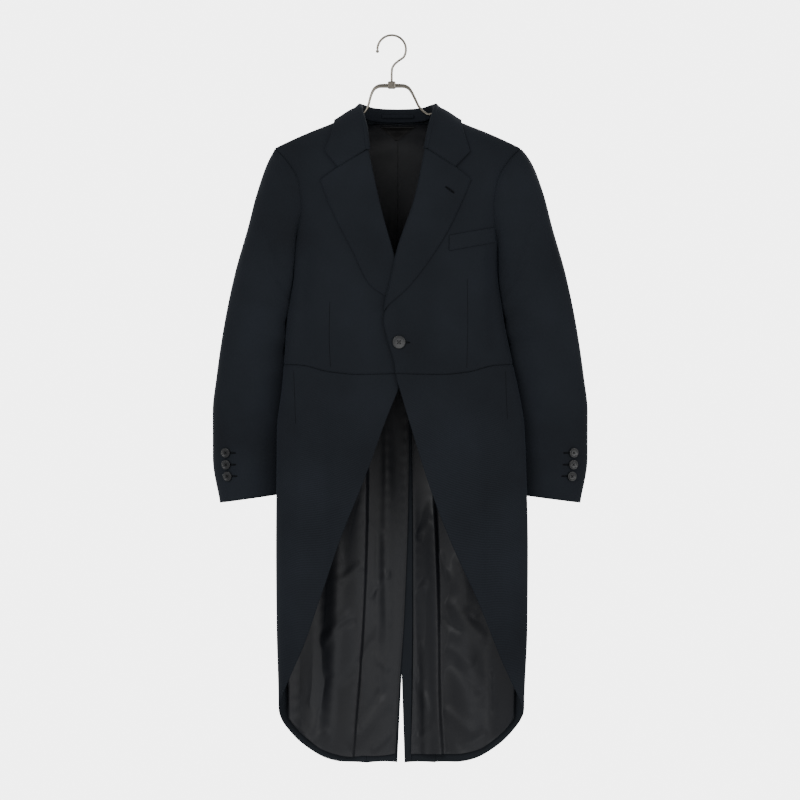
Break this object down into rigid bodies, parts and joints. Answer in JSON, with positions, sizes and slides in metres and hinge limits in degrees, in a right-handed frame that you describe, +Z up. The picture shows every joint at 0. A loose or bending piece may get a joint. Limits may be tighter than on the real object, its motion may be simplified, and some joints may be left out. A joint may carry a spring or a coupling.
{
  "type": "morning coat on hanger",
  "caption": "Black wool cutaway morning coat with notch lapels and lined tails, hanging open at the neck, cuffs and hem on a double-wire metal hanger.",
  "frame": {"origin": "inside top of the hanger's hook, where it rests on a rod", "axes": "+Z up, the coat's front faces -Y, the wearer's left is +X"},
  "size_m": [0.6234, 0.1673, 1.2068],
  "materials": {
    "wool": "fine black-navy worsted wool, matte",
    "lining": "charcoal satin lining, soft sheen",
    "label": "plain dark woven patch",
    "button": "dark polished button resin",
    "metal": "satin nickel-plated steel wire"
  },
  "bodies": {
    "root": {"front_left": "wool", "front_right": "wool", "side_body_left": "wool", "side_body_right": "wool", "back_left": "wool", "back_right": "wool", "skirt_left": "wool", "skirt_right": "wool", "lapel_left": "wool", "lapel_right": "wool", "collar": "wool", "breast_welt": "wool", "top_sleeve_left": "wool", "top_sleeve_right": "wool", "under_sleeve_left": "wool", "under_sleeve_right": "wool", "vent_facing_left": "wool", "vent_facing_right": "wool", "hanging_loop": "wool", "lining_back_left": "lining", "lining_back_right": "lining", "lining_skirt_left": "lining", "lining_skirt_right": "lining", "neck_label": "label", "front_button": "button", "cuff_button_left_1": "button", "cuff_button_left_2": "button", "cuff_button_left_3": "button", "cuff_button_right_1": "button", "cuff_button_right_2": "button", "cuff_button_right_3": "button", "hanger_wire_front": "metal", "hanger_wire_rear": "metal", "hanger_clamp": "metal", "hanger_hook": "metal", "hanger_ball": "metal"}
  },
  "joints": []
}
